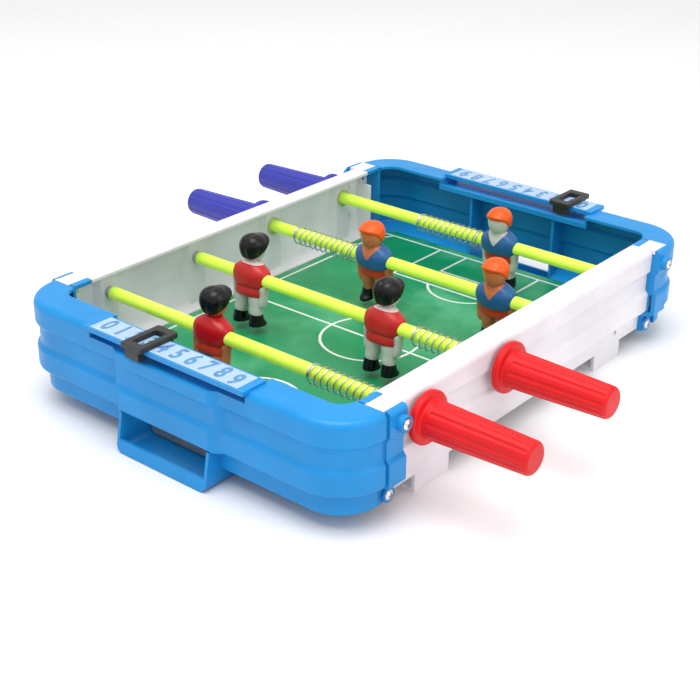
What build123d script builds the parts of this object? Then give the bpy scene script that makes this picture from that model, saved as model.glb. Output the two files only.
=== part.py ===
"""Mini tabletop foosball table, in millimetres.

X runs along the pitch, from the near goal (-X) to the far goal (+X). Y runs along the rods.
Z is up, and zero is the surface that the feet stand on. Red plays from -X and holds its
handles at -Y. Blue plays from +X and holds its handles at +Y.
"""

from build123d import *
from math import cos, radians, sin
import os

os.makedirs("parts", exist_ok=True)

# ---- overall sizes ----
TOP_Z = 63.4  # top of the side panels and of the end rims
SKIRT_Z = 10.4  # lower edge of the inset skirt
END_X = 165.0  # outer face of an end wall's two bands
SHELL_Y = 120.4  # the same face on an end shell's short returns
SEAM_X = 137.0  # where the end shells stop and the corner brackets begin
CORNER_R = 28.0  # outer radius of an end shell's corners
RIM_W = 19.5  # width of the flat rim on an end shell
PANEL_Y = 116.5  # outer face of a side panel's two bands
PANEL_X = 123.0  # where a side panel's full section stops
LIP_Y = 102.3  # inner edge of a side panel's top flange

# ---- the banded section that runs round the whole table ----
BAND_TOP = (50.0, 47.5)  # lower edge of the upper band, and where the waist begins
BAND_LOW = (37.5, 35.0)  # where the waist ends, and the upper edge of the lower band
BAND_BASE = (25.0, 22.6)  # the lower band's rounded foot
WAIST = 2.0  # how far the waist is set in from the bands
SKIRT = 5.0  # how far the skirt is set in from the bands
WALL = 2.2
FLANGE = 2.4  # thickness of the rims and top flanges
EDGE_R = 4.0  # rounding of the outer top edge

# ---- pitch ----
BOARD = (295.4, 213.4, 1.8)
BOARD_END = (273.6, 206.2, 10.7)  # where its ends narrow, their width and their corner radius
BOARD_Z = 11.7
SHEET_T = 0.2
PITCH_Z = BOARD_Z + BOARD[2] + SHEET_T

# ---- rods ----
ROD_X = {"red_keeper": -105.0, "red_striker": -35.0, "blue_striker": 35.0, "blue_keeper": 105.0}
ROD_Z = 48.0
ROD_R = 3.85
ROD_BORE_R = 2.6
ROD_FREE_Y = 106.5  # the free end, measured towards the far side from the handle
BOSS_Y = 109.7  # front of the buttresses that carry the rods
RUNNING = 0.08  # radial clearance of a running fit
HANDLE_Y = (118.5, 182.0)  # the handle's two ends
HANDLE_R = (10.3, 8.6)  # the grip's radius at the flange and at its end
HANDLE_FLANGE_R = 14.2

# ---- return springs ----
SPRING_R = 5.5  # mean radius of the coil
WIRE_R = 0.5
SPRING_L = 48.0
SPRING_TURNS = 12
SPRING_SAG = 0.95  # the loose coil hangs this far below the rod's axis

# ---- figures: distance along Y, for each rod ----
FIGURES = {
    "red_keeper": {"": 25.5},
    "red_striker": {"_left": 62.9, "_right": -38.2},
    "blue_striker": {"_left": 25.4, "_right": -65.0},
    "blue_keeper": {"": -20.3},
}
SHOULDER = 13.0  # half the width of a figure across the shoulders

# ---- score rails ----
RECESS_Y = 56.0  # half length of the recess in the rim
RECESS_Z = 57.5  # its floor
RAIL_X = (151.0, 168.0)
RAIL_Z = (62.6, 65.0)
LABEL_T = 0.25
DIGIT_PITCH = 10.3
DIGIT_ZERO_Y = 46.35  # the middle of the digit 0, from the middle of the rail
BULGE = 3.3  # how far the middle of an end wall stands out
BULGE_Y = (32.5, 41.0)  # half length of the bulge at its face and at its root

# ---- ball trays ----
TRAY_Y = 33.0
TRAY_X = (148.0, 172.0)
TRAY_TOP_X = 168.0
TRAY_Z = (0.4, 22.3)
TRAY_LIP_Z = 7.4
TRAY_WALL = 1.8

# ---- fasteners ----
SCREW_X = 128.0
SCREW_UP = (124.6, 55.5)  # seat and height of an upper corner screw
SCREW_LOW = (114.8, 12.8)  # seat and height of a lower corner screw
HEAD_R = 2.9
SHANK_R = 1.35
BOSS_R = 4.3
PITCH_SCREW_X = (-55.0, 0.0, 55.0)
PITCH_SCREW_Y = 103.6


def finish(builder, name):
    """Label a finished piece and write its STEP file."""
    builder.part.label = name
    export_step(builder.part, f"parts/{name}.step")


def side(name):
    """The side of Y that a rod's handle is on."""
    return -1 if name.startswith("red") else 1


def banded_outline(inner, ledge):
    """Outline of a moulded edge, as (distance in from the bands, height) pairs and radii.

    inner is the width of the top flange and ledge is how far in the pitch ledge reaches.
    """
    low = TOP_Z - FLANGE
    step = BOARD_Z - SKIRT_Z
    points = [
        (inner, TOP_Z, 0.6),
        (0, TOP_Z, EDGE_R),
        (0, BAND_TOP[0], 1.5),
        (WAIST, BAND_TOP[1], 1.5),
        (WAIST, BAND_LOW[0], 1.5),
        (0, BAND_LOW[1], 1.5),
        (0, BAND_BASE[1], 2.0),
        (SKIRT, BAND_BASE[1], 0.8),
        (SKIRT, SKIRT_Z, 0.5),
        (ledge, SKIRT_Z, 0),
        (ledge, SKIRT_Z + step, 0),
    ]
    return points, low


# ---- near end shell, and the far one as its mirror image ----
def end_points():
    """The end shell's section: rim, banded wall, ramp and pitch ledge."""
    board_edge = END_X - BOARD[0] / 2 - 0.2
    points, low = banded_outline(RIM_W, 25.0)
    points += [
        (board_edge, BOARD_Z, 0),
        (board_edge, PITCH_Z + 0.3, 0.4),
        (SKIRT + WALL, 18.5, 1.0),
        (SKIRT + WALL, BAND_BASE[1] + WALL, 0.5),
        (WALL, BAND_BASE[1] + WALL, 0.5),
        (WALL, BAND_LOW[1] - 0.6, 0.5),
        (WALL + WAIST, BAND_LOW[0] - 0.6, 0.5),
        (WALL + WAIST, BAND_TOP[1] + 0.6, 0.5),
        (WALL, BAND_TOP[0] + 0.6, 0.5),
        (WALL, low, 1.5),
        (RIM_W, low, 0.6),
    ]
    return points


def bulge_points():
    """The outward bulge's section, which overlaps the wall that it thickens."""
    back = WAIST + 0.1
    return [
        (back, RECESS_Z, 0),
        (-BULGE, RECESS_Z, 1.6),
        (-BULGE, BAND_TOP[0], 1.5),
        (WAIST - BULGE, BAND_TOP[1], 1.5),
        (WAIST - BULGE, BAND_LOW[0], 1.5),
        (-BULGE, BAND_LOW[1], 1.5),
        (-BULGE, BAND_BASE[1], 2.0),
        (back, BAND_BASE[1], 0),
    ]


def outline(points):
    """Edges of a closed outline, from (across, up, corner radius) points."""
    with BuildLine() as line:
        FilletPolyline(
            *[(p[0], p[1]) for p in points], radius=[p[2] for p in points], close=True
        )
    return line.edges()


SWEEP_X = END_X - CORNER_R - 2  # the sweep starts before the seam, where its path is straight
with BuildLine() as rim_path:
    FilletPolyline(
        (-SWEEP_X, -SHELL_Y),
        (-END_X, -SHELL_Y),
        (-END_X, SHELL_Y),
        (-SWEEP_X, SHELL_Y),
        radius=CORNER_R,
    )

return_section = Plane(origin=(-SWEEP_X, -SHELL_Y, 0), x_dir=(0, 1, 0), z_dir=(1, 0, 0))
end_section = Plane(origin=(-END_X, 0, 0), x_dir=(1, 0, 0), z_dir=(0, -1, 0))

with BuildPart() as end_shell:
    with BuildSketch(return_section):
        make_face(outline(end_points()))
    sweep(path=rim_path.line)
    split(bisect_by=Plane(origin=(-SEAM_X, 0, 0), x_dir=(0, 1, 0), z_dir=(-1, 0, 0)))
    # the bulge in the middle of the wall, with slanted ends
    with BuildPart(mode=Mode.PRIVATE) as bulge:
        with BuildSketch(end_section):
            make_face(outline(bulge_points()))
        extrude(amount=BULGE_Y[1], both=True)
        with BuildSketch(Plane.XY):
            with BuildLine():
                Polyline(
                    (-END_X - BULGE, -BULGE_Y[0]),
                    (-END_X + WAIST + 0.1, -BULGE_Y[1]),
                    (-END_X + WAIST + 0.1, BULGE_Y[1]),
                    (-END_X - BULGE, BULGE_Y[0]),
                    close=True,
                )
            make_face()
        extrude(amount=TOP_Z, mode=Mode.INTERSECT)
    # the score recess: the rim is lowered to a floor, which keeps a small inner lip
    rim_inner = END_X - RIM_W
    with BuildSketch(Plane.XY.offset(RECESS_Z)):
        with Locations((-END_X + RIM_W / 2 - 2, 0)):
            Rectangle(RIM_W + 6, 2 * RECESS_Y)
    extrude(amount=10, mode=Mode.SUBTRACT)
    with BuildSketch(Plane.XY.offset(RECESS_Z - 2)):
        with Locations((-END_X + RIM_W / 2 + 0.8, 0)):
            Rectangle(RIM_W - 1.6, 2 * RECESS_Y + 3)
    extrude(amount=2)
    with BuildSketch(Plane.XY.offset(RECESS_Z - 2)):
        with Locations((-rim_inner - 0.8, 0)):
            Rectangle(1.6, 2 * RECESS_Y + 3)
    extrude(amount=3.4)
    with BuildSketch(Plane.XY.offset(RECESS_Z - 2)):
        with GridLocations(0, 2 * RECESS_Y + 1.6, 1, 2):
            with Locations((-END_X + RIM_W / 2 + 1.4, 0)):
                Rectangle(RIM_W - 2.8, 1.6)
    extrude(amount=5)
    add(bulge.part)
    # the score rail bridges the recess and sits on the rim at both ends
    with BuildSketch(Plane.XY.offset(RAIL_Z[0])):
        with Locations((-(RAIL_X[0] + RAIL_X[1]) / 2, 0)):
            RectangleRounded(RAIL_X[1] - RAIL_X[0], 2 * RECESS_Y + 3, 0.7)
    extrude(amount=RAIL_Z[1] - RAIL_Z[0])
    # two fins stand between the rim and the goal's cheeks
    with BuildSketch(Plane.XY.offset(BAND_BASE[1])):
        with GridLocations(0, 2 * TRAY_Y - TRAY_WALL, 1, 2):
            with Locations((-(END_X - WALL + 148.2) / 2, 0)):
                Rectangle(END_X - WALL - 148.2 + 1.0, TRAY_WALL)
    extrude(amount=RECESS_Z - BAND_BASE[1] - 1)
    # the goal mouth: the skirt, ramp and ledge are cut away over the ball tray
    with BuildSketch(Plane.XY):
        with Locations((-(END_X + 139) / 2 - 4, 0)):
            Rectangle(END_X - 139 + 12, 2 * TRAY_Y)
    extrude(amount=BAND_BASE[1], mode=Mode.SUBTRACT)

with BuildPart() as near_end_shell:
    add(end_shell.part)
with BuildPart() as far_end_shell:
    mirror(end_shell.part, about=Plane.YZ)
finish(near_end_shell, "near_end_shell")
finish(far_end_shell, "far_end_shell")

# ---- ball trays: a U-shaped channel with a front lip, open behind under the pitch ----
with BuildPart() as ball_tray:
    with BuildSketch(Plane(origin=(-TRAY_X[1], 0, 0), x_dir=(0, 1, 0), z_dir=(1, 0, 0))):
        with BuildLine():
            FilletPolyline(
                (-TRAY_Y, TRAY_Z[1]),
                (-TRAY_Y, TRAY_Z[0]),
                (TRAY_Y, TRAY_Z[0]),
                (TRAY_Y, TRAY_Z[1]),
                radius=4.5,
            )
            Line((TRAY_Y, TRAY_Z[1]), (-TRAY_Y, TRAY_Z[1]))
        make_face()
        with BuildLine():
            FilletPolyline(
                (-TRAY_Y + TRAY_WALL, TRAY_Z[1]),
                (-TRAY_Y + TRAY_WALL, TRAY_Z[0] + TRAY_WALL),
                (TRAY_Y - TRAY_WALL, TRAY_Z[0] + TRAY_WALL),
                (TRAY_Y - TRAY_WALL, TRAY_Z[1]),
                radius=2.7,
            )
            Line((TRAY_Y - TRAY_WALL, TRAY_Z[1]), (-TRAY_Y + TRAY_WALL, TRAY_Z[1]))
        make_face(mode=Mode.SUBTRACT)
    extrude(amount=TRAY_X[1] - TRAY_X[0])
    with BuildSketch(Plane(origin=(-TRAY_X[1], 0, 0), x_dir=(0, 1, 0), z_dir=(1, 0, 0))):
        with BuildLine():
            FilletPolyline(
                (-TRAY_Y, TRAY_LIP_Z),
                (-TRAY_Y, TRAY_Z[0]),
                (TRAY_Y, TRAY_Z[0]),
                (TRAY_Y, TRAY_LIP_Z),
                radius=4.5,
            )
            Line((TRAY_Y, TRAY_LIP_Z), (-TRAY_Y, TRAY_LIP_Z))
        make_face()
    extrude(amount=TRAY_WALL + 1.2)
    # the front leans back towards the wall above it
    with BuildSketch(Plane.XZ.offset(-TRAY_Y - 2)):
        with BuildLine():
            Polyline(
                (-TRAY_X[1] - 1, TRAY_Z[0]),
                (-TRAY_X[1], TRAY_Z[0]),
                (-TRAY_TOP_X, TRAY_Z[1]),
                (-TRAY_TOP_X, TRAY_Z[1] + 1),
                (-TRAY_X[1] - 1, TRAY_Z[1] + 1),
                close=True,
            )
        make_face()
    extrude(amount=2 * TRAY_Y + 4, mode=Mode.SUBTRACT)

with BuildPart() as near_ball_tray:
    add(ball_tray.part)
with BuildPart() as far_ball_tray:
    mirror(ball_tray.part, about=Plane.YZ)
finish(near_ball_tray, "near_ball_tray")
finish(far_ball_tray, "far_ball_tray")


# ---- side panels: the left one is drawn, and the right one is the same part turned round ----
def panel_points():
    """The side panel's section: top flange, banded wall, concave ramp and pitch ledge."""
    board_edge = PANEL_Y - BOARD[1] / 2 - 0.2
    inner_wall = PANEL_Y - 112.5
    points, low = banded_outline(PANEL_Y - LIP_Y, PANEL_Y - 100.0)
    points += [
        (board_edge, BOARD_Z, 0),
        (board_edge, PITCH_Z + 0.4, 0.4),
        (inner_wall + 2.2, 18.0, 9.0),
        (inner_wall, 34.0, 8.0),
        (inner_wall, low, 2.0),
        (PANEL_Y - LIP_Y, low, 0.6),
    ]
    return points


def tongue_points():
    """The section of a panel's two ends, which slide inside the corner brackets."""
    board_edge = PANEL_Y - BOARD[1] / 2 - 0.2
    inner_wall = PANEL_Y - 112.5
    outer = PANEL_Y - 114.3
    low = TOP_Z - FLANGE
    return [
        (PANEL_Y - 106.7, TOP_Z, 0.4),
        (PANEL_Y - 118.0, TOP_Z, 0.4),
        (PANEL_Y - 118.0, low, 0),
        (outer, low, 0),
        (outer, BAND_BASE[1] + 1, 0),
        (SKIRT, BAND_BASE[1], 0),
        (SKIRT, SKIRT_Z, 0),
        (board_edge, SKIRT_Z, 0),
        (board_edge, PITCH_Z + 0.4, 0.4),
        (inner_wall + 2.2, 18.0, 9.0),
        (inner_wall, 34.0, 8.0),
        (inner_wall, low, 0),
        (PANEL_Y - 106.7, low, 0),
    ]


FREE = [ROD_X["red_keeper"], ROD_X["red_striker"]]  # sockets for free ends on the left panel
HELD = [ROD_X["blue_striker"], ROD_X["blue_keeper"]]  # handle-side holes on the left panel
left_section = Plane(origin=(0, PANEL_Y, 0), x_dir=(0, -1, 0), z_dir=(-1, 0, 0))
panel_face = Plane(origin=(0, BOSS_Y, 0), x_dir=(-1, 0, 0), z_dir=(0, 1, 0))
FOOT_X = 87.5
FOOT = (29.0, 14.5)
TONGUE_X = SEAM_X - 2.2

with BuildPart() as left_side_panel:
    with BuildSketch(left_section):
        make_face(outline(panel_points()))
    extrude(amount=PANEL_X, both=True)
    for direction in (-1, 1):
        with BuildSketch(left_section.offset(direction * PANEL_X)):
            make_face(outline(tongue_points()))
        extrude(amount=direction * (TONGUE_X - PANEL_X))
        # the tongue itself reaches the seam
        with BuildSketch(Plane.XY.offset(TOP_Z - FLANGE)):
            with Locations((-direction * (TONGUE_X + SEAM_X - 0.6) / 2, (106.7 + 118.0) / 2)):
                Rectangle(SEAM_X - TONGUE_X + 0.4, 118.0 - 106.7)
        extrude(amount=FLANGE)
    # an inward plate near the end beside the other team's keeper
    with BuildSketch(Plane.YZ.offset(124.4)):
        with BuildLine():
            Polyline(
                (112.9, 53.5), (101.0, 53.5), (101.0, 20.0), (105.0, 14.8), (111.2, 14.8),
                (111.2, 24.2), (112.9, 24.2),
                close=True,
            )
        make_face()
    extrude(amount=0.9, both=True)
    # a buttress at each rod, which widens into the ramp
    for x in ROD_X.values():
        with BuildSketch(Plane.XY.offset(PITCH_Z + 3)):
            with BuildLine():
                Polyline(
                    (x - 6.2, BOSS_Y), (x + 6.2, BOSS_Y), (x + 11, 113.0), (x - 11, 113.0),
                    close=True,
                )
            make_face()
        extrude(amount=TOP_Z - FLANGE - PITCH_Z - 2)
    # outer pads carry the through holes across the waist
    with BuildSketch(Plane.XZ.offset(-PANEL_Y)):
        with Locations(*[(x, ROD_Z) for x in HELD]):
            Circle(7.0)
    extrude(amount=4.5)
    # screw bosses inside, at the ends
    with BuildSketch(Plane.XZ.offset(-PANEL_Y + 2.2)):
        with Locations((SCREW_X, SCREW_UP[1]), (-SCREW_X, SCREW_UP[1])):
            Circle(BOSS_R - 1.2)
    extrude(amount=3.6)
    with BuildSketch(Plane.XZ.offset(-PANEL_Y + SKIRT)):
        with Locations((SCREW_X, SCREW_LOW[1]), (-SCREW_X, SCREW_LOW[1])):
            Circle(BOSS_R - 1.9)
    extrude(amount=4)
    with BuildSketch(Plane.XZ.offset(-112.8)):
        with Locations((114.5, 56.0), (114.5, 36.0)):
            Circle(3.6)
    extrude(amount=4.5)
    # two hollow feet, open at both ends along X
    with BuildSketch(Plane.YZ.offset(-FOOT_X)):
        with Locations((PANEL_Y - SKIRT - FOOT[1] / 2, SKIRT_Z / 2 + 0.2)):
            Rectangle(FOOT[1], SKIRT_Z + 0.4)
            Rectangle(FOOT[1] - 4.0, SKIRT_Z - 3.2, mode=Mode.SUBTRACT)
    extrude(amount=FOOT[0] / 2, both=True)
    with BuildSketch(Plane.YZ.offset(FOOT_X)):
        with Locations((PANEL_Y - SKIRT - FOOT[1] / 2, SKIRT_Z / 2 + 0.2)):
            Rectangle(FOOT[1], SKIRT_Z + 0.4)
            Rectangle(FOOT[1] - 4.0, SKIRT_Z - 3.2, mode=Mode.SUBTRACT)
    extrude(amount=FOOT[0] / 2, both=True)
    # through holes for the bearing bushes, and blind sockets for the guide pins
    with BuildSketch(Plane.XZ.offset(-PANEL_Y - 2)):
        with Locations(*[(x, ROD_Z) for x in HELD]):
            Circle(ROD_R + 1.0 + RUNNING)
    extrude(amount=12, mode=Mode.SUBTRACT)
    with BuildSketch(Plane.XZ.offset(-113.2)):
        with Locations(*[(x, ROD_Z) for x in FREE]):
            Circle(ROD_BORE_R - RUNNING)
    extrude(amount=6, mode=Mode.SUBTRACT)
    # pilot holes for the corner screws and the pitch screws
    for x in (-SCREW_X, SCREW_X):
        with BuildSketch(Plane.XZ.offset(-PANEL_Y)):
            with Locations((x, SCREW_UP[1]), (x, SCREW_LOW[1])):
                Circle(SHANK_R)
        extrude(amount=12, mode=Mode.SUBTRACT)
    with BuildSketch(Plane.XY):
        with Locations(*[(x, PITCH_SCREW_Y) for x in PITCH_SCREW_X]):
            Circle(0.8)
    extrude(amount=BOARD_Z, mode=Mode.SUBTRACT)

with BuildPart() as right_side_panel:
    add(left_side_panel.part, rotation=(0, 0, 180))
finish(left_side_panel, "left_side_panel")
finish(right_side_panel, "right_side_panel")

# ---- corner brackets: one is drawn at +X +Y, and mirrored to the other corners ----
SLEEVE = 5.3  # how far the sleeve's bands stand out from the panel's
SLEEVE_T = 2.6
sleeve_out = PANEL_Y + SLEEVE
BRACKET_X = (PANEL_X + 0.2, SEAM_X - 0.9)
sleeve_section = Plane(origin=(BRACKET_X[0], sleeve_out, 0), x_dir=(0, -1, 0), z_dir=(-1, 0, 0))

with BuildPart() as corner_bracket:
    # outer sleeve, which follows the bands
    with BuildSketch(sleeve_section):
        sleeve = outline(
            [
                (sleeve_out - 118.2, TOP_Z, 0),
                (0, TOP_Z, 2.6),
                (0, BAND_TOP[0], 1.5),
                (WAIST, BAND_TOP[1], 1.5),
                (WAIST, BAND_LOW[0], 1.5),
                (0, BAND_LOW[1], 1.5),
                (0, BAND_BASE[1] - 1.5, 2.0),
                (sleeve_out - 111.7, BAND_BASE[1] - 1.5, 0),
                (sleeve_out - 111.7, BAND_BASE[1] - 0.4, 0),
                (SLEEVE_T, BAND_BASE[1] + 0.6, 0.5),
                (SLEEVE_T, BAND_LOW[1] - 0.8, 0.5),
                (SLEEVE_T + WAIST - 0.6, BAND_LOW[0] - 0.4, 0.5),
                (SLEEVE_T + WAIST - 0.6, BAND_TOP[1] + 0.4, 0.5),
                (sleeve_out - 118.2, BAND_TOP[0] + 0.8, 0.5),
            ]
        )
        make_face(sleeve)
    extrude(amount=-(BRACKET_X[1] - BRACKET_X[0]))
    # flange that closes the sleeve against the panel's end
    with BuildSketch(Plane.YZ.offset(BRACKET_X[0])):
        with BuildLine():
            Polyline(
                (118.5, 60.6), (114.6, 60.6), (114.6, 24.0), (117.5, 23.5), (117.5, 34.0),
                (118.5, 35.0),
                close=True,
            )
        make_face()
    extrude(amount=1.4)
    # end plate against the shell, lowered where the panel's tongue passes over it
    with BuildSketch(Plane.YZ.offset(SEAM_X - 2.0)):
        with BuildLine():
            Polyline(
                (LIP_Y, PITCH_Z + 0.4), (LIP_Y, TOP_Z - FLANGE - 0.4),
                (118.6, TOP_Z - FLANGE - 0.4), (118.6, BAND_BASE[1] - 1.0),
                (111.7, BAND_BASE[1] - 1.0), (111.7, BOARD_Z), (107.1, BOARD_Z),
                (107.1, PITCH_Z + 0.4),
                close=True,
            )
        make_face()
    extrude(amount=2.0)
    # inner finger beside the panel's tongue
    with BuildSketch(Plane.XY.offset(TOP_Z)):
        with BuildLine():
            FilletPolyline(
                (BRACKET_X[1], LIP_Y), (BRACKET_X[0], LIP_Y), (BRACKET_X[0], 106.5),
                (BRACKET_X[1], 106.5),
                radius=(0.8, 0.8),
            )
            Line((BRACKET_X[1], 106.5), (BRACKET_X[1], LIP_Y))
        make_face()
    extrude(amount=-2.2)
    with BuildSketch(Plane.XY.offset(TOP_Z - 2.2)):
        with Locations(((BRACKET_X[1] + SEAM_X - 2.0) / 2, (LIP_Y + 106.5) / 2)):
            Rectangle(BRACKET_X[1] - SEAM_X + 2.0, 106.5 - LIP_Y)
    extrude(amount=-1.2)
    # lower tab with its screw boss
    with BuildSketch(Plane.XZ.offset(-111.7)):
        with Locations(((BRACKET_X[0] + BRACKET_X[1]) / 2, (8.6 + BAND_BASE[1]) / 2)):
            RectangleRounded(BRACKET_X[1] - BRACKET_X[0], BAND_BASE[1] - 8.6, 1.2)
    extrude(amount=-1.8)
    with BuildSketch(Plane.XZ.offset(-111.7)):
        with Locations((SCREW_X, SCREW_LOW[1])):
            Circle(BOSS_R)
    extrude(amount=-(SCREW_LOW[0] + 0.7 - 111.7))
    with BuildSketch(Plane.XZ.offset(-118.2)):
        with Locations((SCREW_X, SCREW_UP[1])):
            Circle(BOSS_R)
    extrude(amount=-(SCREW_UP[0] + 0.7 - 118.2))
    # counterbored screw holes
    for seat, height in (SCREW_UP, SCREW_LOW):
        with BuildSketch(Plane.XZ.offset(-seat)):
            with Locations((SCREW_X, height)):
                Circle(HEAD_R + 0.35)
        extrude(amount=-3, mode=Mode.SUBTRACT)
        with BuildSketch(Plane.XZ.offset(-seat - 1)):
            with Locations((SCREW_X, height)):
                Circle(SHANK_R + 0.15)
        extrude(amount=16, mode=Mode.SUBTRACT)

with BuildPart() as bracket_far_left:
    add(corner_bracket.part)
with BuildPart() as bracket_far_right:
    mirror(corner_bracket.part, about=Plane.XZ)
with BuildPart() as bracket_near_left:
    mirror(corner_bracket.part, about=Plane.YZ)
with BuildPart() as bracket_near_right:
    add(corner_bracket.part, rotation=(0, 0, 180))
finish(bracket_far_left, "corner_bracket_far_left")
finish(bracket_far_right, "corner_bracket_far_right")
finish(bracket_near_left, "corner_bracket_near_left")
finish(bracket_near_right, "corner_bracket_near_right")

# ---- pitch ----
with BuildPart() as pitch_board:
    with BuildSketch(Plane.XY.offset(BOARD_Z)):
        RectangleRounded(BOARD[0], BOARD_END[1], BOARD_END[2])
        Rectangle(BOARD_END[0], BOARD[1])
    extrude(amount=BOARD[2])
    with BuildSketch(Plane.XY.offset(BOARD_Z)):
        with GridLocations(PITCH_SCREW_X[2], 2 * PITCH_SCREW_Y, 3, 2):
            Circle(0.8)
    extrude(amount=BOARD[2] - 0.4, mode=Mode.SUBTRACT)
finish(pitch_board, "pitch_board")

with BuildPart() as pitch_sheet:
    with BuildSketch(Plane.XY.offset(BOARD_Z + BOARD[2])):
        RectangleRounded(BOARD[0] - 0.4, BOARD_END[1] - 0.4, BOARD_END[2] - 0.2)
        Rectangle(BOARD_END[0] - 0.4, BOARD[1] - 0.4)
    extrude(amount=SHEET_T)
finish(pitch_sheet, "pitch_sheet")

# ---- score labels and sliders ----
LABEL_X = (152.2, 166.8)
with BuildPart() as score_label:
    with BuildSketch(Plane.XY.offset(RAIL_Z[1])):
        with Locations((-(LABEL_X[0] + LABEL_X[1]) / 2, 0)):
            RectangleRounded(LABEL_X[1] - LABEL_X[0], 106.0, 0.5)
    extrude(amount=LABEL_T)
with BuildPart() as near_score_label:
    add(score_label.part)
with BuildPart() as far_score_label:
    mirror(score_label.part, about=Plane.YZ)
finish(near_score_label, "near_score_label")
finish(far_score_label, "far_score_label")

SLIDER_X = (146.2, 173.0)
SLIDER_Z = (RAIL_Z[1] + LABEL_T + 0.2, 68.3)
SLIDER_LEN = 14.6
SLIDER_FOOT_Z = 60.0
LEG_W = 9.6  # width of the slider's hooked legs
slider_mid = (SLIDER_X[0] + SLIDER_X[1]) / 2

with BuildPart() as score_slider:
    with BuildSketch(Plane.XY.offset(SLIDER_Z[0])):
        with Locations((-slider_mid, 0)):
            RectangleRounded(SLIDER_X[1] - SLIDER_X[0], SLIDER_LEN, 1.2)
            RectangleRounded(16.6, 7.6, 0.6, mode=Mode.SUBTRACT)
    extrude(amount=SLIDER_Z[1] - SLIDER_Z[0])
    chamfer(score_slider.edges().group_by(Axis.Z)[-1], 0.4)
    # a leg on each side of the rail, hooked under it
    for inside, outside in ((RAIL_X[1] + 0.3, 172.0), (RAIL_X[0] - 0.3, 147.6)):
        toward = 1 if outside > inside else -1
        with BuildSketch(Plane.XZ.offset(-LEG_W / 2)):
            with BuildLine():
                Polyline(
                    (-inside, SLIDER_Z[0] + 0.5),
                    (-outside, SLIDER_Z[0] + 0.5),
                    (-outside, SLIDER_FOOT_Z),
                    (-inside + toward * 2.0, SLIDER_FOOT_Z),
                    (-inside + toward * 2.0, RAIL_Z[0] - 0.3),
                    (-inside, RAIL_Z[0] - 0.3),
                    close=True,
                )
            make_face()
        extrude(amount=LEG_W)

NEAR_SLIDER_Y = DIGIT_ZERO_Y - 3 * DIGIT_PITCH
FAR_SLIDER_Y = -DIGIT_ZERO_Y + DIGIT_PITCH
with BuildPart() as near_score_slider:
    with Locations((0, NEAR_SLIDER_Y, 0)):
        add(score_slider.part)
with BuildPart() as far_score_slider:
    with Locations((0, FAR_SLIDER_Y, 0)):
        add(score_slider.part, rotation=(0, 0, 180))
finish(near_score_slider, "near_score_slider")
finish(far_score_slider, "far_score_slider")


# ---- rods ----
def along(name, start):
    """A plane across a rod, start away from the middle on the handle's side, facing outwards."""
    s = side(name)
    return Plane(origin=(ROD_X[name], s * start, ROD_Z), x_dir=(1, 0, 0), z_dir=(0, s, 0))


def turned_points(points, s, x):
    """Place (radius, distance) pairs in a plane through a rod's axis."""
    return [(x + r, s * d) for r, d in points]


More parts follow.
